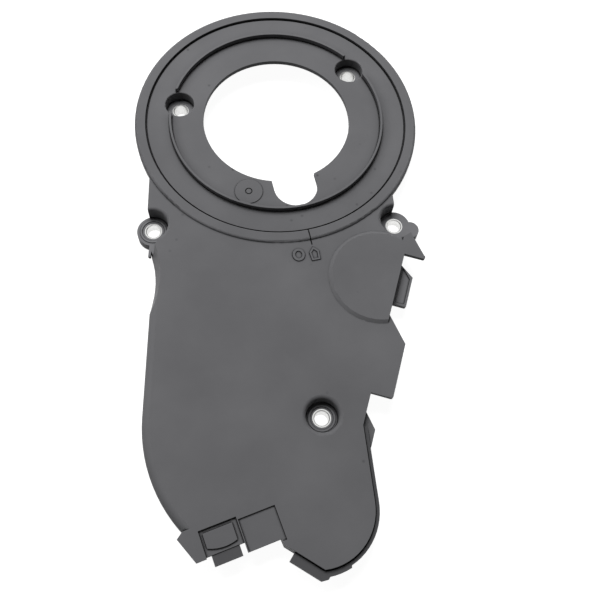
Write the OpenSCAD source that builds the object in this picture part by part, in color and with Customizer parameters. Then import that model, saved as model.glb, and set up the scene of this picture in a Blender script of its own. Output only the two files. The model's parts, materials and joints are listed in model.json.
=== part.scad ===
// Timing cover: a shallow moulded shell with a round crank ring at one end, a long belt run below it,
// edge tabs that lap the next cover and five bolt points with steel compression sleeves.
// Origin on the crank axis in the plane of the front face, +Z out of the face, +Y from belt run to ring.
// The pieces are drawn up from the rear rim and then set down so that the face lies at zero.

/* [Shell] */
// Height of the front face above the rear rim
depth = 12.5; // [12:0.5:16]
// Thickness of the front plate
plate = 2.2; // [1.8:0.1:2.6]
// Thickness of the side walls
wall = 2.2; // [1.8:0.1:2.6]
// Rounding between the front face and the free long side
edge_r = 4; // [3.5:0.5:4.5]

/* [Crank ring] */
// Outer radius of the ring
ring_r = 70.2; // [69.6:0.2:71]
// Depth of the ring's overhanging edge below the face
ring_edge = 3.3; // [2.4:0.1:5]
// Outer radius of the wall behind the ring
ring_wall_r = 66; // [65.4:0.2:67]
// Width of the raised rim band
rim_w = 5.2; // [4.8:0.1:6]
// Height of the rim band above the face
rim_h = 0.9; // [0.6:0.1:1.6]
// Width of the groove inside the rim band
rim_groove_w = 1; // [0.6:0.1:1.4]
// Depth of the groove inside the rim band
rim_groove_deep = 0.7; // [0.4:0.1:1.2]
// Rounding of the rim's outer edge
rim_round = 1.4; // [0.6:0.1:2]
// Middle radius of the thin round rib
rib_r = 52.6; // [51.5:0.1:54]
// Thickness of the round rib
rib_t = 1; // [0.8:0.1:1.6]
// Height of the round rib above the face
rib_h = 2.6; // [1:0.1:4]
// Radius of the crank opening
opening_r = 36.5; // [35:0.25:37.5]
// Radius of the round notch in the opening's edge
notch_r = 10.5; // [9:0.1:11]
// Distance of the notch's round end from the crank axis
notch_reach = 40.3; // [39:0.1:41]
// Direction of the notch and of the timing mark, in degrees
mark_angle = -74.5; // [-80:0.5:-70]
// Width of the timing mark's groove
mark_w = 0.6; // [0.4:0.1:1]
// Depth of the timing mark's groove
mark_deep = 0.5; // [0.2:0.1:0.8]
// Length of the timing mark's groove on the face
mark_l = 2.4; // [1.5:0.1:4]
// Place of the round gate pad, to the right of the crank axis
gate_x = -11.5; // [-13:0.1:-8]
// Place of the round gate pad, above the crank axis
gate_y = -43; // [-46:0.1:-41]
// Radius of the gate pad
gate_r = 6.6; // [5:0.1:7]
// Height of the gate pad
gate_h = 0.3; // [0.2:0.1:0.6]
// Radius of the gate mark's ring groove
gate_mark_r = 1.5; // [1:0.1:2.5]

/* [Bolt points] */
// Outer diameter of a sleeve and of its seat
sleeve_od = 8.2; // [8:0.1:9]
// Bore of a sleeve
sleeve_id = 6.4; // [6.2:0.1:7]
// Chamfer at the ends of a sleeve's bore
sleeve_chamfer = 0.3; // [0.1:0.1:0.3]
// Radius of the post that holds a sleeve
post_r = 6.2; // [6:0.1:7]
// Depth of the ring and face seats below the face
seat_drop = 5.5; // [4:0.5:7]
// Depth of the ear seats below the face
ear_drop = 7.5; // [6:0.5:8.5]
// Radius of the pockets in the ring
pocket_r = 7.1; // [6.6:0.1:7.6]
// Rounding of the mouths of the ring pockets
pocket_mouth = 0.6; // [0.3:0.1:1.2]
// Rounding of the mouths of the ear pockets
ear_mouth = 1.6; // [0.8:0.1:2]
// Radius of the bolt circle in the ring
bolt_circle_r = 49.2; // [48:0.1:50]
// Direction of the left ring bolt, in degrees
bolt_left_angle = 173.3; // [165:0.1:180]
// Direction of the right ring bolt, in degrees
bolt_right_angle = 42.5; // [35:0.1:50]
// Radius of an ear
ear_r = 7.7; // [7:0.1:8]
// Radius of the pocket above an ear
ear_pocket_r = 7.5; // [6.8:0.1:7.6]
// Place of the left ear, to the right of the crank axis
ear_left_x = -55.6; // [-57:0.1:-54]
// Place of the left ear, above the crank axis
ear_left_y = -63.1; // [-65:0.1:-62]
// Place of the right ear, to the right of the crank axis
ear_right_x = 59.3; // [58:0.1:60]
// Place of the right ear, above the crank axis
ear_right_y = -53.8; // [-55:0.1:-53]
// Radius of the small lobe beside the right ear
lobe_r = 4.3; // [3.6:0.1:5]
// Distance of the small lobe from the right ear
lobe_step = 7.9; // [7:0.1:9]
// Direction of the small lobe from the right ear, in degrees
lobe_angle = -11; // [-20:1:0]
// Direction in which the left ear's pocket runs out, in degrees
ear_left_angle = -120; // [-125:1:-115]
// Length of the left ear's pocket beyond its bolt point
ear_left_slot = 12; // [11:0.1:13]
// Direction in which the right ear's pocket is drawn out, in degrees
ear_right_angle = -75; // [-90:1:-60]
// Length of the right ear's pocket beyond its bolt point
ear_right_slot = 2.5; // [1:0.1:4]
// Length of the web below the left ear
web_l = 13.4; // [12:0.1:15]
// Thickness of the web below the left ear
web_t = 1.2; // [1:0.1:2]
// Height of the web below the left ear
web_h = 2; // [1:0.1:3]
// Distance of the web's outer side from the ear's middle
web_out = 1.1; // [0.8:0.1:2]
// Place of the pocket in the face, to the right of the crank axis
boss_x = 25.6; // [22:0.1:27]
// Place of the pocket in the face, above the crank axis
boss_y = -150.5; // [-155:0.5:-145]
// Radius of the face pocket at its floor
boss_pocket_r = 7.1; // [6.4:0.1:7.6]
// Rounding of the face pocket's mouth
boss_mouth = 2; // [1:0.1:2.1]

/* [Long free side] */
// Start of both neck walls inside the ring, below the crank axis
neck_drop = 36.5; // [35:0.5:38]
// Start of the left neck wall inside the ring, to the left of the crank axis
neck_left_w = 59.3; // [58.6:0.1:59.6]
// Left wall at the top of the ear, to the left of the crank axis
ear_wall_left = 58.2; // [57.6:0.1:58.6]
// Left wall at the foot of the ear, to the left of the crank axis
ear_foot_w = 55.8; // [55.2:0.1:56.4]
// Centre of the round lower flank, to the right of the crank axis
flank_x = 16.6; // [16:0.1:17]
// Centre of the round lower flank, above the crank axis
flank_y = -151.2; // [-153:0.1:-150]
// Radius of the round lower flank
flank_r = 66.9; // [66:0.1:67.5]
// Lean of the long side, in degrees
flank_tilt = 2.4; // [2:0.1:2.8]
// Height at which the long side turns out to the ear
flank_top = -88; // [-92:1:-84]
// Centre of the round scallop, to the right of the crank axis
scallop_x = -97; // [-97.6:0.1:-96.4]
// Centre of the round scallop, above the crank axis
scallop_y = -92.7; // [-94:0.1:-91]
// Radius of the scallop at the face
scallop_r = 48.2; // [47.8:0.1:48.6]
// Depth of the scallop's slanted wall
scallop_deep = 10; // [8:0.5:11]
// Inward lean of the scallop's wall over its depth
scallop_lean = 3.3; // [2.8:0.1:4]

/* [Tab edge] */
// Start of the right neck wall inside the ring, to the right of the crank axis
neck_right_w = 57.2; // [56.6:0.1:57.6]
// Right wall at the top of the ear, to the right of the crank axis
ear_wall_right = 58.5; // [58:0.1:58.8]
// Top of the straight tab edge, to the right of the crank axis
edge_x = 62.4; // [62:0.1:62.8]
// Top of the straight tab edge, above the crank axis
edge_y = -72.9; // [-73.4:0.1:-72.4]
// Lean of the tab edge, in degrees
edge_tilt = 13.6; // [13:0.1:14.2]
// Length of the tab edge below its top
edge_l = 83.5; // [82:0.5:85]
// Length of the tab edge above its top
edge_rise = 14.8; // [14:0.1:15.6]
// Thickness of the edge tabs
tab_t = 2; // [1.5:0.1:2.4]
// Rounding of an edge tab's outer corner
tab_round = 0.9; // [0.4:0.1:0.9]
// Depth of the lower tabs below the face
tab_drop = 4; // [3:0.5:6]
// Reach of the upper tabs
upper_reach = 9.7; // [8:0.1:11]
// Reach of the lower tabs
lower_reach = 6.6; // [5:0.1:8]
// Reach of the last lower tab
last_reach = 5.7; // [5:0.1:7]
// Length of the fin's slanted edge down the tab edge
fin_slant = 11.5; // [9:0.1:13]
// Length of the fin's end beside the top of the tab edge
fin_end = 1; // [1:0.1:2]
// Start of the first lower tab down the tab edge
first_from = 3.4; // [3:0.1:4.5]
// Length of a lower tab's slanted shoulder
lower_slant = 5; // [3:0.1:6.5]
// Length of the first lower tab
first_l = 20.6; // [18:0.1:22]
// Start of the upper tab down the tab edge
upper_from = 31.4; // [29:0.1:33]
// Length of the upper tab's slanted shoulder
upper_slant = 11.6; // [8:0.1:14]
// Length of the upper tab
upper_l = 37.4; // [34:0.1:39]
// Start of the last lower tab down the tab edge
last_from = 76.2; // [74:0.1:77]
// Length of the last lower tab's slanted shoulder
last_slant = 6.8; // [5:0.1:8]
// Length of the last lower tab
last_l = 15.3; // [14:0.1:16]
// Border of the sunk panel in the first lower tab
panel_rim = 1.1; // [0.8:0.1:1.4]
// Depth of the sunk panel in the first lower tab
panel_deep = 0.5; // [0.3:0.1:0.8]
// Centre of the raised round pad, to the right of the crank axis
pad_x = 50.5; // [49:0.1:52]
// Centre of the raised round pad, above the crank axis
pad_y = -84.5; // [-86:0.1:-83]
// Radius of the raised pad
pad_r = 23.4; // [22:0.1:24]
// Height of the raised pad
pad_h = 1; // [0.5:0.1:1.5]
// Width of the pad's sloped edge
pad_slope = 1.6; // [0.8:0.1:3]

/* [Lower end] */
// Centre of the round lower end, to the right of the crank axis
end_x = 24.2; // [24:0.1:24.6]
// Centre of the round lower end, above the crank axis
end_y = -188.7; // [-189.2:0.1:-188.4]
// Radius of the round lower end
end_r = 23.4; // [23:0.1:23.6]
// Inner corner of the sloped bottom edge, to the right of the crank axis
sill_x = 11.5; // [11.2:0.1:12]
// Inner corner of the sloped bottom edge, above the crank axis
sill_y = -203; // [-203.4:0.1:-202.6]
// Slope of the bottom edge, in degrees
sill_tilt = -28.6; // [-29.6:0.1:-27.6]
// Reach of the lip beside the lower end
lip_w = 1.9; // [1.7:0.1:2.4]
// Reach of the lip below the lower end
low_lip_w = 2.7; // [2.4:0.1:3.2]
// Start of the lip, to the right of the lower end's centre
lip_from = 4.5; // [4:0.1:6]
// Step of the lip, to the right of the lower end's centre
lip_split = 14; // [12:0.1:16]
// Height of the lip's upper end above the lower end's centre
lip_rise = 34.5; // [30:0.5:35]
// Depth of the lip's and tongue's top below the face
lip_drop = 1.5; // [1:0.1:2]
// Width of the groove between the wall and the lip
groove_w = 0.5; // [0.4:0.1:0.8]
// Depth of the groove between the wall and the lip
groove_deep = 1.5; // [1:0.1:2]
// Distance of the tongue's start from the sill's corner
tongue_from = 4.8; // [4:0.1:6]
// Length of the tongue along the sill
tongue_l = 16.6; // [14:0.1:17]
// Reach of the tongue past the sill
tongue_w = 4.3; // [3:0.1:4.8]
// Cut corner at the tongue's outer end
tongue_cut = 2; // [1:0.1:2.5]

/* [Clip] */
// Upper left corner of the clip recess, to the right of the crank axis
clip_x = -22.9; // [-23.4:0.1:-22.4]
// Upper left corner of the clip recess, above the crank axis
clip_y = -199.2; // [-199.6:0.1:-198.8]
// Turn of the clip and flap, in degrees
clip_turn = 23; // [22:0.2:24]
// Width of the clip recess
clip_w = 15.8; // [15:0.1:16.4]
// Height of the clip recess, down to its edge
clip_h = 10.4; // [10:0.1:10.8]
// Depth of the clip recess
clip_deep = 1; // [0.8:0.1:1.2]
// Distance from the clip's top to the wall behind it
clip_back = 7.2; // [6.6:0.1:7.8]
// Reach of the corner plate beside the clip
corner_w = 8.6; // [7.6:0.1:9]
// Reach of the corner plate's inner step
corner_in = 5.7; // [5.4:0.1:6]
// Rise of the corner plate's inner step above the clip's top
corner_rise = 2.1; // [1.8:0.1:2.4]
// Reach of the corner plate at its foot
corner_foot = 4.3; // [4:0.1:5.5]
// Height of the corner plate below the clip's top
corner_l = 11; // [10.8:0.1:11.6]
// Gap to the left of the clip's lug
lug_gap = 1.4; // [1:0.1:2]
// Gap above the clip's lug
lug_head = 1.5; // [1:0.1:2]
// Width of the clip's lug
lug_w = 12.2; // [11:0.1:12.6]
// Lower end of the clip's lug below the clip's top
lug_foot = 9.1; // [8.4:0.1:9.6]
// Centre of the lug's round lower edge, across the recess
lug_round_x = 8.7; // [7:0.1:10]
// Radius of the lug's round lower edge
lug_round_r = 17; // [14:0.5:22]
// Height of the clip's lug above the recess floor
lug_h = 0.7; // [0.4:0.1:0.7]
// Width of the snap tongue below the clip
snap_w = 11.6; // [10:0.1:12]
// Reach of the snap tongue past the clip's edge
snap_l = 4.4; // [3:0.1:5]
// Depth of the snap tongue's top below the face
snap_drop = 1.3; // [1.3:0.1:2.5]
// Width of the flap panel
flap_w = 15.6; // [15:0.1:16.4]
// Reach of the flap past the clip's edge
flap_l = 4.1; // [3.6:0.1:5]
// Border between the clip recess and the flap panel
flap_gap = 0.4; // [0.3:0.1:0.8]
// Top of the flap panel below the clip's top
flap_top = 1.3; // [0.6:0.1:2]
// Depth of the flap panel below the face
flap_deep = 0.6; // [0.3:0.1:0.9]

/* [Hidden] */
$fn = 96;
// Overlap of joined forms, overshoot of cutters and reach of half planes
eps = 0.01;
over = 1;
far = 300;
// Extra radius of a rounding's cutter, so that the rounding meets its faces in a faint crease
crease = 0.01;

// Plane geometry: unit vectors, meeting of two lines and a polygon moved inwards by an even distance
function heading(a) = [cos(a), sin(a)];
function unit(v) = v / norm(v);
function left_of(v) = [-v[1], v[0]];
function meet(p, u, q, v) = p + u * cross(q - p, v) / cross(u, v);
function inset(pts, d) = [
    for (i = [0 : len(pts) - 1])
        let (
            here = pts[i],
            u = unit(here - pts[(i + len(pts) - 1) % len(pts)]),
            v = unit(pts[(i + 1) % len(pts)] - here)
        )
        meet(here + d * left_of(u), u, here + d * left_of(v), v)
];

// Bolt points: the two in the ring, the two ears and the one in the face
ring_left = bolt_circle_r * heading(bolt_left_angle);
ring_right = bolt_circle_r * heading(bolt_right_angle);
ear_left = [ear_left_x, ear_left_y];
ear_right = [ear_right_x, ear_right_y];
boss = [boss_x, boss_y];
seat_z = depth - seat_drop;
ear_z = depth - ear_drop;

// Corners of the belt run, anticlockwise from the lower left, before its round ends are cut
flank_at = [flank_x, flank_y];
flank_foot = flank_at + flank_r * heading(180 + flank_tilt);
flank_up = heading(90 + flank_tilt);
clip_at = [clip_x, clip_y];
clip_along = heading(clip_turn);
clip_wall = clip_at - clip_back * left_of(clip_along);
flap_from = clip_w + flap_gap;
flap_foot = clip_h + flap_l;
edge_top = [edge_x, edge_y];
edge_up = heading(90 - edge_tilt);
waist = edge_top - edge_l * edge_up;
end_at = [end_x, end_y];
waist_turn = atan2(waist[1] - end_y, waist[0] - end_x);
end_turn = waist_turn - acos(end_r / norm(waist - end_at));
end_side = -left_of(heading(end_turn));
sill_at = [sill_x, sill_y];
sill_along = heading(sill_tilt);
run_corners = [
    meet(flank_foot, flank_up, clip_wall, clip_along),
    clip_wall + (flap_from + flap_w - wall) * clip_along,
    sill_at,
    meet(sill_at, sill_along, waist, end_side),
    waist,
    edge_top + edge_rise * edge_up,
    [ear_wall_right, ear_right_y + post_r],
    [neck_right_w, -neck_drop],
    [0, 0],
    [-neck_left_w, -neck_drop],
    [-ear_wall_left, ear_left_y + ear_r],
    [-ear_foot_w, ear_left_y - ear_r - wall],
    flank_foot + flank_up * (flank_top - flank_foot[1]) / flank_up[1]
];

// Everything to the left of a line through p in direction a
module half_plane(p, a) {
    translate(p) rotate(a) translate([-far, 0]) square([2 * far, far]);
}

// Outline of the belt run, moved inwards by d
module run_outline(d = 0) {
    intersection() {
        polygon(inset(run_corners, d));
        union() {
            half_plane(flank_at, flank_tilt);
            translate(flank_at) circle(flank_r - d);
        }
        union() {
            half_plane(end_at, end_turn);
            half_plane(end_at, sill_tilt + 90);
            translate(end_at) circle(end_r - d);
        }
    }
}

// Cutter that rounds an edge of radius r at distance reach from the axis, with its top at height top
module edge_profile(reach, top, r) {
    difference() {
        translate([reach - r, top - r]) square(r + over);
        translate([reach - r, top - r]) circle(r + crease);
    }
}

// Belt run as a solid block with its free long side rounded
module run_form() {
    difference() {
        linear_extrude(depth) run_outline();
        translate(flank_at) rotate(180 + flank_tilt) {
            rotate_extrude(angle = 90) edge_profile(flank_r, depth, edge_r);
            rotate([90, 0, 0]) linear_extrude(scallop_y - flank_foot[1]) edge_profile(flank_r, depth, edge_r);
        }
    }
}

// Round scallop in the long side, grown by d: slanted below the face, then upright
module scallop(d) {
    foot_r = scallop_r - scallop_lean + d;
    translate([scallop_x, scallop_y, 0]) rotate_extrude() polygon([
        [0, -over],
        [foot_r, -over],
        [foot_r, depth - scallop_deep],
        [scallop_r + d, depth],
        [scallop_r + d, depth + over],
        [0, depth + over]
    ]);
}

// Ring as a solid drum with an overhanging edge, the raised rim and the thin round rib
module ring_form() {
    cylinder(r = ring_wall_r, h = depth);
    rotate_extrude() difference() {
        translate([ring_r - rim_w - rim_groove_w / 2, depth - ring_edge])
            square([rim_w + rim_groove_w / 2, ring_edge + rim_h]);
        edge_profile(ring_r, depth + rim_h, rim_round);
    }
    rotate_extrude() translate([rib_r - rib_t / 2, depth - eps]) square([rib_t, rib_h + eps]);
    translate([gate_x, gate_y, depth - plate]) cylinder(r = gate_r, h = plate + gate_h);
}

// Moves to the top of the tab edge, turned so that the edge runs down and reach counts to the right
module at_edge(z) {
    translate([edge_x, edge_y, z]) rotate(-edge_tilt) children();
}

// Plan of an edge tab from start down the tab edge: slanted shoulder, then square with a rounded corner
module tab_plan(start, slant, long, reach, back) {
    foot = -start - long;
    polygon([
        [-back, -start],
        [-back, foot],
        [reach - tab_round, foot],
        [reach, foot + tab_round],
        [reach, -start - slant],
        [0, -start]
    ]);
    translate([reach - tab_round, foot + tab_round]) circle(tab_round);
}

// Edge tab with its top at height top
module edge_tab(start, slant, long, reach, top) {
    at_edge(top - tab_t) linear_extrude(tab_t) tab_plan(start, slant, long, reach, wall);
}

module edge_tabs() {
    edge_tab(-fin_slant - fin_end, fin_slant, fin_slant + fin_end, upper_reach, depth + pad_h);
    edge_tab(first_from, lower_slant, first_l, lower_reach, depth - tab_drop);
    edge_tab(upper_from, upper_slant, upper_l, upper_reach, depth);
    edge_tab(last_from, last_slant, last_l, last_reach, depth - tab_drop);
}

// Sunk panel in the first lower tab
module tab_panel() {
    at_edge(depth - tab_drop - panel_deep)
        linear_extrude(tab_drop)
            translate([panel_rim, -panel_rim])
                tab_plan(first_from, lower_slant, first_l - 2 * panel_rim, lower_reach - 2 * panel_rim, 0);
}

// Raised round pad beside the tab edge
module round_pad() {
    intersection() {
        translate([pad_x, pad_y, depth - plate]) {
            cylinder(r = pad_r, h = plate);
            translate([0, 0, plate - eps]) cylinder(r1 = pad_r, r2 = pad_r - pad_slope, h = pad_h + eps);
        }
        linear_extrude(depth + far) run_outline();
    }
}

// One stretch of the lip's plan, between two distances to the right of the lower end's centre
module lip_plan(reach, from, to) {
    intersection() {
        run_outline(-reach);
        translate([end_x + from, end_y - far]) square([to - from, far + lip_rise]);
    }
}

// Plan of the tongue below the sloped bottom edge
module tongue_plan() {
    tongue_end = tongue_from + tongue_l;
    translate(sill_at) rotate(sill_tilt) polygon([
        [tongue_from, wall],
        [tongue_from, -tongue_w],
        [tongue_end - tongue_cut, -tongue_w],
        [tongue_end, -tongue_w + tongue_cut],
        [tongue_end, wall]
    ]);
}

// Lip and tongue round the lower end, kept outside the outline of the belt run moved inwards by d
module lip_band(d) {
    difference() {
        union() {
            lip_plan(low_lip_w, lip_from, lip_split);
            lip_plan(lip_w, lip_split - eps, far);
            tongue_plan();
        }
        run_outline(d);
    }
}

// Lip and tongue with a narrow groove along the wall
module end_lip() {
    groove_z = depth - lip_drop - groove_deep;
    translate([0, 0, groove_z - tab_t]) {
        linear_extrude(tab_t) lip_band(wall / 2);
        linear_extrude(tab_t + groove_deep) lip_band(-groove_w);
    }
}

// Moves to the upper left corner of the clip recess, turned with it
module at_clip(z) {
    translate([clip_x, clip_y, z]) rotate(clip_turn) children();
}

// Snap tongue below the clip, rooted in the clip's floor and the wall behind it
module snap_tongue() {
    at_clip(depth - snap_drop - tab_t)
        translate([(clip_w - snap_w) / 2, -clip_h - snap_l, 0])
            cube([snap_w, clip_h + snap_l - clip_back + wall, tab_t]);
}

// Floor under the clip recess, filled up to the face
module clip_block() {
    at_clip(depth - clip_deep - plate)
        translate([-wall, -clip_h, 0]) cube([clip_w + wall + flap_gap, clip_h + wall, clip_deep + plate]);
}

// Plates of the face that reach past the wall: the corner beside the clip and the flap
module lower_plates() {
    at_clip(depth - plate) linear_extrude(plate) {
        polygon([
            [0, corner_rise],
            [-corner_in, corner_rise],
            [-corner_w, 0],
            [-corner_foot, -corner_l],
            [0, -corner_l]
        ]);
        translate([clip_w, -flap_foot]) square([flap_gap + flap_w, flap_foot]);
    }
}

// Clip recess, with the lug left standing on its floor
module clip_recess() {
    at_clip(depth - clip_deep) difference() {
        translate([0, -corner_l - over, 0]) cube([clip_w, corner_l + over, clip_deep + over]);
        intersection() {
            translate([lug_gap, -clip_h, -eps]) cube([lug_w, clip_h - lug_head, lug_h + eps]);
            translate([lug_round_x, lug_round_r - lug_foot, -eps]) cylinder(r = lug_round_r, h = lug_h + eps);
        }
    }
}

// Flap panel, a shallow step in the face
module flap_recess() {
    at_clip(depth - flap_deep)
        translate([flap_from, -flap_foot - over, 0])
            cube([flap_w, flap_foot + over - flap_top, flap_deep + over]);
}

// Cup round a pocket and the post below it that holds the sleeve
module bolt_post(at, cup_r) {
    translate(at) {
        cylinder(r = post_r, h = seat_z);
        translate([0, 0, seat_z - plate]) cylinder(r = cup_r, h = seat_drop + plate);
    }
}

// Plan of an ear's pocket: a circle of radius r drawn out in one direction
module ear_plan(at, angle, long, r) {
    translate(at) rotate(angle) {
        circle(r);
        translate([0, -r]) square([long, 2 * r]);
        translate([long, 0]) circle(r);
    }
}

// Cup round an ear's pocket, kept inside the outline of the belt run
module ear_cup(at, angle, long) {
    translate([0, 0, ear_z - plate]) linear_extrude(ear_drop + plate) intersection() {
        ear_plan(at, angle, long, ear_pocket_r + wall);
        run_outline();
    }
}

module ear_pocket(at, angle, long) {
    translate([0, 0, ear_z]) linear_extrude(depth) ear_plan(at, angle, long, ear_pocket_r);
}

// Ear that holds a sleeve
module ear(at) {
    translate(at) cylinder(r = ear_r, h = ear_z);
}

module ear_lobe() {
    translate(ear_right + lobe_step * heading(lobe_angle)) cylinder(r = lobe_r, h = ear_z);
}

module ear_web() {
    translate([ear_left_x - web_out, ear_left_y - web_l, ear_z - web_h]) cube([web_t, web_l, web_h]);
}

// Belt space behind the face: the ring and the belt run share it
module belt_space() {
    translate([0, 0, -over]) {
        cylinder(r = ring_wall_r - wall, h = depth - plate + over);
        difference() {
            linear_extrude(depth - plate + over) run_outline(wall);
            scallop(wall);
        }
    }
}

// Crank opening with its round-ended notch
module crank_opening() {
    cut_h = plate + rib_h + 2 * over;
    translate([0, 0, depth - plate - over]) {
        cylinder(r = opening_r, h = cut_h);
        rotate(mark_angle) {
            translate([0, -notch_r, 0]) cube([notch_reach, 2 * notch_r, cut_h]);
            translate([notch_reach, 0, 0]) cylinder(r = notch_r, h = cut_h);
        }
    }
}

// Rounded mouth of a round pocket
module pocket_lip(at, r, mouth) {
    translate([at[0], at[1], depth - mouth]) rotate_extrude() difference() {
        square([r + mouth, mouth + rib_h + over]);
        translate([r + mouth, 0]) circle(mouth + crease);
    }
}

// Round pocket above a seat, open to the front
module pocket(at, r, mouth) {
    translate([at[0], at[1], seat_z]) cylinder(r = r, h = depth - seat_z + rib_h + over);
    pocket_lip(at, r, mouth);
}

module sleeve_seat(at) {
    translate([at[0], at[1], -over]) cylinder(d = sleeve_od, h = depth);
}

// Round groove that sets the rim band off from the ring's floor
module rim_groove() {
    rotate_extrude()
        translate([ring_r - rim_w - rim_groove_w, depth - rim_groove_deep])
            square([rim_groove_w, rim_groove_deep + rim_h + over]);
}

// Timing mark: a radial groove across the rim and on to the face below it
module timing_mark() {
    rotate(mark_angle) translate([0, -mark_w / 2, depth - mark_deep]) {
        translate([ring_r - rim_w - over, 0, rim_h]) cube([rim_w + 2 * over, mark_w, rim_h]);
        translate([ring_r - over, 0, 0]) cube([mark_l + over, mark_w, rim_h + over]);
    }
}

module gate_mark() {
    translate([gate_x, gate_y, depth])
        rotate_extrude() translate([gate_mark_r - mark_w / 2, 0]) square([mark_w, gate_h + over]);
}

// Hollow shell with its outer tabs and the cups of the ears, scalloped on its long side
module shell() {
    difference() {
        union() {
            difference() {
                union() {
                    ring_form();
                    run_form();
                    round_pad();
                    edge_tabs();
                    end_lip();
                    snap_tongue();
                    ear_lobe();
                }
                belt_space();
            }
            ear_cup(ear_left, ear_left_angle, ear_left_slot);
            ear_cup(ear_right, ear_right_angle, ear_right_slot);
        }
        scallop(0);
    }
}

module cover() {
    color([0.38, 0.38, 0.39]) difference() {
        union() {
            shell();
            bolt_post(ring_left, pocket_r + wall);
            bolt_post(ring_right, pocket_r + wall);
            bolt_post(boss, boss_pocket_r + wall);
            ear(ear_left);
            ear(ear_right);
            ear_web();
            clip_block();
            lower_plates();
        }
        crank_opening();
        pocket(ring_left, pocket_r, pocket_mouth);
        pocket(ring_right, pocket_r, pocket_mouth);
        pocket(boss, boss_pocket_r, boss_mouth);
        pocket_lip(ear_left, ear_pocket_r, ear_mouth);
        pocket_lip(ear_right, ear_pocket_r, ear_mouth);
        ear_pocket(ear_left, ear_left_angle, ear_left_slot);
        ear_pocket(ear_right, ear_right_angle, ear_right_slot);
        for (at = [ring_left, ring_right, ear_left, ear_right, boss]) sleeve_seat(at);
        tab_panel();
        clip_recess();
        flap_recess();
        rim_groove();
        timing_mark();
        gate_mark();
    }
}

// Steel compression sleeve from the rear plane up to its seat
module sleeve(at, seat) {
    bore_r = sleeve_id / 2;
    mouth_r = bore_r + sleeve_chamfer;
    color("silver") translate(at) rotate_extrude() polygon([
        [bore_r, sleeve_chamfer],
        [mouth_r, 0],
        [sleeve_od / 2, 0],
        [sleeve_od / 2, seat],
        [mouth_r, seat],
        [bore_r, seat - sleeve_chamfer]
    ]);
}

module ring_sleeve_left() {
    sleeve(ring_left, seat_z);
}

module ring_sleeve_right() {
    sleeve(ring_right, seat_z);
}

module ear_sleeve_left() {
    sleeve(ear_left, ear_z);
}

module ear_sleeve_right() {
    sleeve(ear_right, ear_z);
}

module boss_sleeve() {
    sleeve(boss, seat_z);
}

// Sets a piece down so that the face lies at zero
module on_face() {
    translate([0, 0, -depth]) children();
}

on_face() cover();
on_face() ring_sleeve_left();
on_face() ring_sleeve_right();
on_face() ear_sleeve_left();
on_face() ear_sleeve_right();
on_face() boss_sleeve();
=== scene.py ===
"""Looks of the timing cover: plastic, plated sleeves, raised marks and rings, floor, camera and light."""
import json
import math

import bpy
from mathutils import Matrix, Vector


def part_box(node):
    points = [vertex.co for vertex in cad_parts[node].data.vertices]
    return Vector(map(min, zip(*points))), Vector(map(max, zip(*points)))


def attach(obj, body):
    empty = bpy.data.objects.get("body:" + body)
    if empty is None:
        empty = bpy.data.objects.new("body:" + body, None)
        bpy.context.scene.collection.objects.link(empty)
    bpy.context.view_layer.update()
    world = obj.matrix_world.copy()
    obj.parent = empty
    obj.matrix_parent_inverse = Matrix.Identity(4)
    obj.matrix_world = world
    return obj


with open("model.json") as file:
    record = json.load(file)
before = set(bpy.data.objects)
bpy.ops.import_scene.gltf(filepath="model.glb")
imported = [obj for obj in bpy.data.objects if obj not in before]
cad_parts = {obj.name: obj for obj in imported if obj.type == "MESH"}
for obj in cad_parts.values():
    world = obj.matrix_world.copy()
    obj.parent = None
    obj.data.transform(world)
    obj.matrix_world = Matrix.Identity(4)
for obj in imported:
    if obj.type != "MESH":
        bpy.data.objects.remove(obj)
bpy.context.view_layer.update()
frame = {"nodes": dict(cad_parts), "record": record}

MM = 0.001
SCENE = bpy.context.scene

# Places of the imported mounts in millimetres
MOUNT_AT = {mount["name"]: [v / MM for v in mount["pos_m"]] for mount in frame["record"]["mounts"]}

# Tones of the plastic as sRGB levels from 0 to 255
COVER_LEVEL = 101
# Grey of the sides of raised marks and rings, painted dark as shade
MARK_SIDE_SHADE_LEVEL = 40
TONE_SPREAD = 4
SPECK_DROP = 36
EDGE_LIFT = 14
COOL_SHIFT = 2

# Textures of the plastic: features per metre, and octaves
CLOUD_SCALE, CLOUD_DETAIL, CLOUD_ROUGH = 22.0, 4.0, 0.55
SPECK_SCALE = 70.0
PATCH_SCALE, PATCH_DETAIL = 14.0, 2.0
RUB_SCALE, RUB_DETAIL = 160.0, 2.0
SHEEN_SCALE, SHEEN_DETAIL = 60.0, 3.0
GRAIN_SCALE, GRAIN_DETAIL = 1800.0, 2.0

# How far from an edge the rubbed tone reaches, and how far from a corner or a wall the painted shade
# reaches, in millimetres
EDGE_REACH = 0.5
CORNER_SHADE_REACH = 1.0
WALL_SHADE_REACH = 5

# Rays that look for edges, corners and walls
BEND_RAYS = 4
ROUND_RAYS = 6
CORNER_RAYS = 6
WALL_RAYS = 4

# Grey ramps of the plastic, as stops of position and value
UPWARD_RAMP = ((0.7, 0), (0.9, 1))
SPECK_RAMP = ((0.02, 0.7), (0.065, 0))
PATCH_RAMP = ((0.52, 0), (0.6, 1))
EDGE_RAMP = ((0.75, 0.6), (0.96, 0))
RUB_RAMP = ((0.35, 0.3), (0.6, 1))
# Painted shade, darker in corners and near walls
CORNER_SHADE_RAMP = ((0.6, 0.02), (0.96, 1))
WALL_SHADE_RAMP = ((0.4, 0.7), (0.97, 1))
CLOUD_LOW, CLOUD_HIGH = 0.35, 0.68

# Painted shade and light on upward surfaces by height in millimetres, darker a little below the face and
# lighter on floors deeper than about 4 mm, and the depth that its ramp spans
SUNK_REACH = 10
SUNK_SHADE_AND_LIGHT = ((-4.5, 1.3), (-3.5, 0.92), (-2, 0.9), (-1.6, 0.66), (-1.3, 0.66), (-1.1, 1))

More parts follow.
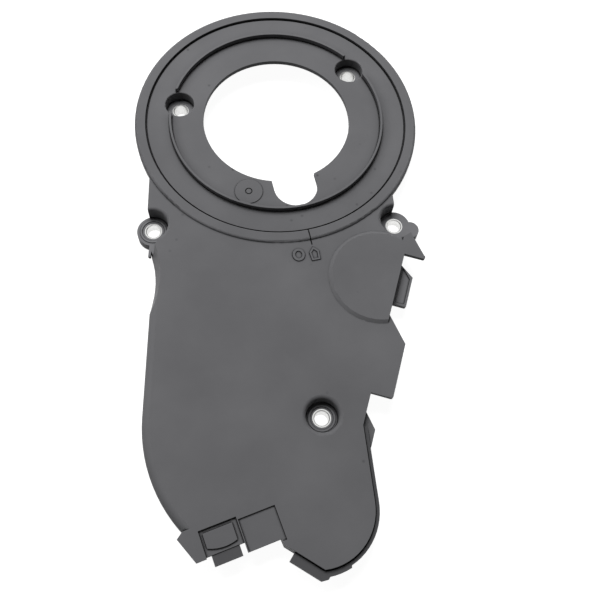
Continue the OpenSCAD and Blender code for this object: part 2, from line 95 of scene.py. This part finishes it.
# Gloss of the plastic, and its soft edges and grain in millimetres
SHEEN_LOW, SHEEN_HIGH = 0.3, 0.7
PLASTIC_SMOOTH, PLASTIC_ROUGH = 0.52, 0.62
PLASTIC_SPECULAR = 0.12
EDGE_ROUND = 0.25
GRAIN_STRENGTH, GRAIN_DEEP = 0.08, 0.05

# Plated steel: linear tints, texture, edges darkened as painted shade, gloss, and flecks in millimetres
STEEL_DARK = (0.72, 0.72, 0.71, 1)
STEEL_LIGHT = (0.84, 0.84, 0.83, 1)
FLECK_SCALE, FLECK_DETAIL = 900.0, 3.0
STEEL_EDGE_SHADE_REACH = 0.25
STEEL_EDGE_SHADE_RAMP = ((0.85, 0.2), (0.985, 1))
STEEL_SMOOTH, STEEL_ROUGH = 0.28, 0.44
FLECK_STRENGTH, FLECK_DEEP = 0.1, 0.02

# Raised marks beside the timing groove, in millimetres and degrees about the crank axis
MARK_TOP = 0.4
MARK_DRAFT = 0.3
ARROW_ANGLE = -74.5
ARROW_STROKE = 0.8
ARROW_TIP, ARROW_SHOULDER, ARROW_FOOT = 73.9, 76.4, 80.7
ARROW_WIDE, ARROW_FOOT_WIDE = 2.25, 1.9
ZERO_ANGLE = -80.0
ZERO_STROKE = 1.15
ZERO_AT = 76.8
ZERO_LONG, ZERO_WIDE = 3.1, 2.8

# Low raised rings round two sleeves, in millimetres
BOSS_RING = 5.9
EAR_RING = 6.1
RING_TOP = 0.3
RING_DRAFT = 0.15
RING_STROKE = 0.8

# How far a raised line reaches into the surface under it, and the points of a round one
LINE_SINK = 0.05
ROUND_POINTS = 48

# Bands of a raised line that are its drafted sides, painted dark as shade: between its first two loops
# and its last two
SIDE_BANDS = (0, 2)

# Floor: size in metres, gap below the rear rim in millimetres, grey, and glow where it is seen
FLOOR_SIZE = 6
FLOOR_GAP = 0.02
FLOOR_GREY = 0.3
FLOOR_GLOW = 0.96

# Camera fitted to the photo: place in millimetres, axes as the columns of a rotation, lens in millimetres
CAMERA_AT = (2.6125, -229.06, 302.905)
CAMERA_TURN = (
    (0.99829043, -0.04591409, -0.0361678),
    (0.02785267, 0.91772215, -0.39624524),
    (0.05138523, 0.39456046, 0.91743207),
)
SENSOR = 36
LENS = 44.11
CLIP_NEAR, CLIP_FAR = 0.01, 20

# Lamps: place and size in metres, power in watts, and the middle of the cover at which they aim
KEY_AT, KEY_SIZE, KEY_POWER = (-0.13, 0.4, 0.8), 0.56, 10.2
FILL_AT, FILL_SIZE, FILL_POWER = (-0.6, 0.1, 0.45), 0.4, 1.5
MIDDLE = Vector((0, -0.07, 0))

# Strength of the world as light, and as the white background where it is seen
WORLD_LIGHT = 0.015
WORLD_WHITE = 1.0


def srgb(level):
    """Linear value of an sRGB level from 0 to 255."""
    c = level / 255
    return c / 12.92 if c <= 0.04045 else ((c + 0.055) / 1.055) ** 2.4


def cool_grey(level):
    """Linear colour of a slightly cool grey."""
    return (srgb(level), srgb(level), srgb(level + COOL_SHIFT), 1)


def flat(value):
    """Neutral linear colour."""
    return (value, value, value, 1)


def new_material(name):
    """Material with an empty node tree, the tree and its output node."""
    mat = bpy.data.materials.new(name)
    mat.use_nodes = True
    tree = mat.node_tree
    tree.nodes.clear()
    return mat, tree, tree.nodes.new("ShaderNodeOutputMaterial")


def put(tree, socket, value):
    """Links a socket to another node's output, or sets its value."""
    if isinstance(value, bpy.types.NodeSocket):
        tree.links.new(value, socket)
    else:
        socket.default_value = value


def node(tree, kind, **inputs):
    """New shader node with inputs by name, a space written as an underscore."""
    made = tree.nodes.new(kind)
    for key, value in inputs.items():
        put(tree, made.inputs[key.replace("_", " ")], value)
    return made


def ramp(tree, fac, stops):
    """Colour ramp through stops of position and colour."""
    made = node(tree, "ShaderNodeValToRGB", Fac=fac)
    elements = made.color_ramp.elements
    elements[0].position, elements[0].color = stops[0]
    elements[1].position, elements[1].color = stops[-1]
    for position, color in stops[1:-1]:
        elements.new(position).color = color
    return made.outputs["Color"]


def greys(tree, fac, stops):
    """Colour ramp through stops of position and grey."""
    return ramp(tree, fac, [(position, flat(value)) for position, value in stops])


def mix(tree, blend, fac, a, b):
    """Colour b laid over colour a."""
    made = tree.nodes.new("ShaderNodeMix")
    made.data_type = "RGBA"
    made.blend_type = blend
    for index, value in ((0, fac), (6, a), (7, b)):
        put(tree, made.inputs[index], value)
    return made.outputs[2]


def times(tree, a, b):
    """Product of two colours."""
    return mix(tree, "MULTIPLY", 1.0, a, b)


def spread(tree, value, low, high, to_low, to_high):
    """Value mapped from one range to another."""
    return node(tree, "ShaderNodeMapRange", Value=value, From_Min=low, From_Max=high,
                To_Min=to_low, To_Max=to_high).outputs["Result"]


def noise(tree, place, scale, detail, roughness=0.5):
    """Cloudy noise, about 0.5 on average."""
    return node(tree, "ShaderNodeTexNoise", Vector=place, Scale=scale, Detail=detail,
                Roughness=roughness).outputs["Fac"]


def rounded(tree, radius, rays):
    """Normal of the surface with its edges rounded to a radius in millimetres."""
    made = node(tree, "ShaderNodeBevel", Radius=radius * MM)
    made.samples = rays
    return made.outputs["Normal"]


def bend(tree, normal, radius):
    """1 on flat ground, and less within a radius of an edge, in millimetres."""
    made = tree.nodes.new("ShaderNodeVectorMath")
    made.operation = "DOT_PRODUCT"
    put(tree, made.inputs[0], rounded(tree, radius, BEND_RAYS))
    put(tree, made.inputs[1], normal)
    return made.outputs["Value"]


def openness(tree, reach, rays):
    """1 in the open, and less where other surfaces stand within a reach in millimetres."""
    made = node(tree, "ShaderNodeAmbientOcclusion", Distance=reach * MM)
    made.samples = rays
    return made.outputs["AO"]


def specks(tree, place, upward):
    """Small dots in patches, on upward surfaces only."""
    cells = tree.nodes.new("ShaderNodeTexVoronoi")
    cells.voronoi_dimensions = "2D"
    put(tree, cells.inputs["Vector"], place)
    put(tree, cells.inputs["Scale"], SPECK_SCALE)
    dots = greys(tree, cells.outputs["Distance"], SPECK_RAMP)
    patches = greys(tree, noise(tree, place, PATCH_SCALE, PATCH_DETAIL), PATCH_RAMP)
    return times(tree, times(tree, dots, patches), upward)


def plastic_color(tree, place, level):
    """Cloudy tone with dark specks and pale rubbed edges, painted shade in corners and near walls, and
    painted shade and light by height.
    """
    normal = node(tree, "ShaderNodeNewGeometry").outputs["Normal"]
    rise = node(tree, "ShaderNodeSeparateXYZ", Vector=normal).outputs["Z"]
    upward = greys(tree, rise, UPWARD_RAMP)

    cloud = noise(tree, place, CLOUD_SCALE, CLOUD_DETAIL, CLOUD_ROUGH)
    color = ramp(tree, cloud, [
        (CLOUD_LOW, cool_grey(level - TONE_SPREAD)),
        (CLOUD_HIGH, cool_grey(level + TONE_SPREAD)),
    ])
    color = mix(tree, "MIX", specks(tree, place, upward), color, cool_grey(level - SPECK_DROP))

    edges = greys(tree, bend(tree, normal, EDGE_REACH), EDGE_RAMP)
    worn = greys(tree, noise(tree, place, RUB_SCALE, RUB_DETAIL), RUB_RAMP)
    color = mix(tree, "MIX", times(tree, edges, worn), color, cool_grey(level + EDGE_LIFT))

    # Painted shade in corners and near walls
    color = times(tree, color, greys(tree, openness(tree, CORNER_SHADE_REACH, CORNER_RAYS), CORNER_SHADE_RAMP))
    color = times(tree, color, greys(tree, openness(tree, WALL_SHADE_REACH, WALL_RAYS), WALL_SHADE_RAMP))

    # Painted shade on upward surfaces a little below the face, and painted light on floors deeper than
    # about 4 mm
    height = node(tree, "ShaderNodeSeparateXYZ", Vector=place).outputs["Z"]
    below = spread(tree, height, -SUNK_REACH * MM, 0.0, 0.0, 1.0)
    depth_shade_and_light = greys(tree, below, [(1 + z / SUNK_REACH, tone) for z, tone in SUNK_SHADE_AND_LIGHT])
    return mix(tree, "MULTIPLY", upward, color, depth_shade_and_light)


def plastic(name, level):
    """Dark moulded plastic with an uneven sheen, soft edges and a fine grain."""
    mat, tree, out = new_material(name)
    place = node(tree, "ShaderNodeTexCoord").outputs["Object"]
    sheen = noise(tree, place, SHEEN_SCALE, SHEEN_DETAIL)
    rough = spread(tree, sheen, SHEEN_LOW, SHEEN_HIGH, PLASTIC_SMOOTH, PLASTIC_ROUGH)
    grain = noise(tree, place, GRAIN_SCALE, GRAIN_DETAIL)
    bump = node(tree, "ShaderNodeBump", Strength=GRAIN_STRENGTH, Distance=GRAIN_DEEP * MM, Height=grain,
                Normal=rounded(tree, EDGE_ROUND, ROUND_RAYS))
    shader = node(tree, "ShaderNodeBsdfPrincipled", Base_Color=plastic_color(tree, place, level),
                  Roughness=rough, Specular_IOR_Level=PLASTIC_SPECULAR, Normal=bump.outputs["Normal"])
    put(tree, out.inputs["Surface"], shader.outputs["BSDF"])
    return mat


def steel(name):
    """Bright plated steel with a fine uneven sheen, and edges darkened as painted shade."""
    mat, tree, out = new_material(name)
    place = node(tree, "ShaderNodeTexCoord").outputs["Object"]
    normal = node(tree, "ShaderNodeNewGeometry").outputs["Normal"]
    fleck = noise(tree, place, FLECK_SCALE, FLECK_DETAIL)
    tint = ramp(tree, fleck, [(0.0, STEEL_DARK), (1.0, STEEL_LIGHT)])
    # Painted shade: the tint is darker at edges
    tint = times(tree, tint, greys(tree, bend(tree, normal, STEEL_EDGE_SHADE_REACH), STEEL_EDGE_SHADE_RAMP))
    rough = spread(tree, fleck, 0.0, 1.0, STEEL_SMOOTH, STEEL_ROUGH)
    bump = node(tree, "ShaderNodeBump", Strength=FLECK_STRENGTH, Distance=FLECK_DEEP * MM, Height=fleck)
    shader = node(tree, "ShaderNodeBsdfPrincipled", Base_Color=tint, Metallic=1.0, Roughness=rough,
                  Normal=bump.outputs["Normal"])
    put(tree, out.inputs["Surface"], shader.outputs["BSDF"])
    return mat


COVER_MAT = plastic("cover_plastic", COVER_LEVEL)
MARK_SIDE_SHADE_MAT = plastic("mark_side_shade", MARK_SIDE_SHADE_LEVEL)
SLEEVE_MAT = steel("sleeve_steel")

for name, obj in frame["nodes"].items():
    obj.data.materials.clear()
    obj.data.materials.append(COVER_MAT if name == "cover" else SLEEVE_MAT)


def inset(outline, d):
    """Closed outline, anticlockwise, moved inwards by d."""
    moved = []
    for i, p in enumerate(outline):
        u = (p - outline[i - 1]).normalized()
        v = (outline[(i + 1) % len(outline)] - p).normalized()
        a, b = Vector((-u.y, u.x)), Vector((-v.y, v.x))
        moved.append(p + (a + b) * (d / (1 + a.dot(b))))
    return moved


def raised_line(name, outline, stroke, base, top, draft):
    """Closed raised line with drafted sides painted dark as shade, standing on a flat surface at height
    base.
    """
    inner = inset(outline, stroke)
    loops = [
        (inset(outline, -draft), base - LINE_SINK),
        (outline, base + top),
        (inner, base + top),
        (inset(inner, draft), base - LINE_SINK),
    ]
    points = [(p.x * MM, p.y * MM, z * MM) for loop, z in loops for p in loop]
    count = len(outline)
    faces = []
    for k in range(len(loops)):
        after = (k + 1) % len(loops)
        for i in range(count):
            j = (i + 1) % count
            faces.append((k * count + i, k * count + j, after * count + j, after * count + i))
    mesh = bpy.data.meshes.new(name)
    mesh.from_pydata(points, [], faces)
    mesh.materials.append(COVER_MAT)
    mesh.materials.append(MARK_SIDE_SHADE_MAT)
    # Painted shade: the drafted sides take the dark material
    for face in mesh.polygons:
        band = face.index // count
        face.material_index = 1 if band in SIDE_BANDS else 0
    obj = bpy.data.objects.new(name, mesh)
    SCENE.collection.objects.link(obj)
    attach(obj, "root")


def round_line(at, wide, long):
    """Outline of an ellipse about a place."""
    turns = [2 * math.pi * k / ROUND_POINTS for k in range(ROUND_POINTS)]
    return [Vector((at[0] + wide * math.cos(t), at[1] + long * math.sin(t))) for t in turns]


def turned(outline, angle):
    """Outline turned about the crank axis."""
    turn = Matrix.Rotation(math.radians(angle), 2)
    return [turn @ p for p in outline]


arrow = [
    Vector((ARROW_TIP, 0)),
    Vector((ARROW_SHOULDER, -ARROW_WIDE)),
    Vector((ARROW_FOOT, -ARROW_FOOT_WIDE)),
    Vector((ARROW_FOOT, ARROW_FOOT_WIDE)),
    Vector((ARROW_SHOULDER, ARROW_WIDE)),
]
zero = round_line((ZERO_AT, 0), ZERO_LONG, ZERO_WIDE)
raised_line("mark_arrow", turned(arrow, ARROW_ANGLE), ARROW_STROKE, 0, MARK_TOP, MARK_DRAFT)
raised_line("mark_zero", turned(zero, ZERO_ANGLE), ZERO_STROKE, 0, MARK_TOP, MARK_DRAFT)

# The rings stand on the floor round a sleeve, which is level with the sleeve's top
for name, mount, sleeve, radius in (
    ("boss_ring", "face_bolt", "boss_sleeve", BOSS_RING),
    ("ear_ring_left", "ear_bolt_left", "ear_sleeve_left", EAR_RING),
):
    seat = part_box(sleeve)[1][2] / MM
    circle = round_line(MOUNT_AT[mount], radius, radius)
    raised_line(name, circle, RING_STROKE, seat, RING_TOP, RING_DRAFT)


def seen(tree):
    """1 for rays from the camera, off metal or through glass, and 0 for rays that light the object."""
    path = node(tree, "ShaderNodeLightPath")
    total = path.outputs["Is Camera Ray"]
    for kind in ("Is Glossy Ray", "Is Transmission Ray"):
        larger = tree.nodes.new("ShaderNodeMath")
        larger.operation = "MAXIMUM"
        put(tree, larger.inputs[0], total)
        put(tree, larger.inputs[1], path.outputs[kind])
        total = larger.outputs[0]
    return total


def choose(tree, fac, a, b):
    """Shader a where fac is 0 and b where it is 1."""
    made = tree.nodes.new("ShaderNodeMixShader")
    for index, value in enumerate((fac, a, b)):
        put(tree, made.inputs[index], value)
    return made.outputs[0]


def floor_material():
    """Plain floor that keeps the shadow, lifted to the photo's white where it is seen."""
    mat, tree, out = new_material("floor")
    paper = node(tree, "ShaderNodeBsdfDiffuse", Color=flat(FLOOR_GREY)).outputs[0]
    lift = node(tree, "ShaderNodeEmission", Color=flat(1), Strength=FLOOR_GLOW).outputs[0]
    white = tree.nodes.new("ShaderNodeAddShader")
    put(tree, white.inputs[0], paper)
    put(tree, white.inputs[1], lift)
    put(tree, out.inputs["Surface"], choose(tree, seen(tree), paper, white.outputs[0]))
    return mat


floor_z = MOUNT_AT["rear_rim"][2] - FLOOR_GAP
bpy.ops.mesh.primitive_plane_add(size=FLOOR_SIZE, location=(0, 0, floor_z * MM))
floor = bpy.context.object
floor.name = "floor"
floor.data.materials.append(floor_material())

lens = bpy.data.cameras.new("camera")
lens.sensor_width = SENSOR
lens.lens = LENS
lens.clip_start = CLIP_NEAR
lens.clip_end = CLIP_FAR
camera = bpy.data.objects.new("camera", lens)
SCENE.collection.objects.link(camera)
camera.matrix_world = Matrix.Translation(Vector(CAMERA_AT) * MM) @ Matrix(CAMERA_TURN).to_4x4()
SCENE.camera = camera


def area_light(name, at, size, power):
    """Square lamp aimed at the middle of the cover, which metal doesn't mirror."""
    lamp = bpy.data.lights.new(name, "AREA")
    lamp.size = size
    lamp.energy = power
    obj = bpy.data.objects.new(name, lamp)
    SCENE.collection.objects.link(obj)
    obj.visible_glossy = False
    obj.location = at
    obj.rotation_mode = "QUATERNION"
    obj.rotation_quaternion = (MIDDLE - Vector(at)).to_track_quat("-Z", "Y")


area_light("key", KEY_AT, KEY_SIZE, KEY_POWER)
area_light("fill", FILL_AT, FILL_SIZE, FILL_POWER)

world = bpy.data.worlds.new("world")
world.use_nodes = True
SCENE.world = world
sky = world.node_tree
dim = sky.nodes["Background"]
dim.inputs["Color"].default_value = flat(1)
dim.inputs["Strength"].default_value = WORLD_LIGHT
white = node(sky, "ShaderNodeBackground", Color=flat(1), Strength=WORLD_WHITE)
shown = choose(sky, seen(sky), dim.outputs[0], white.outputs[0])
put(sky, sky.nodes["World Output"].inputs["Surface"], shown)

SCENE.view_settings.view_transform = "Standard"
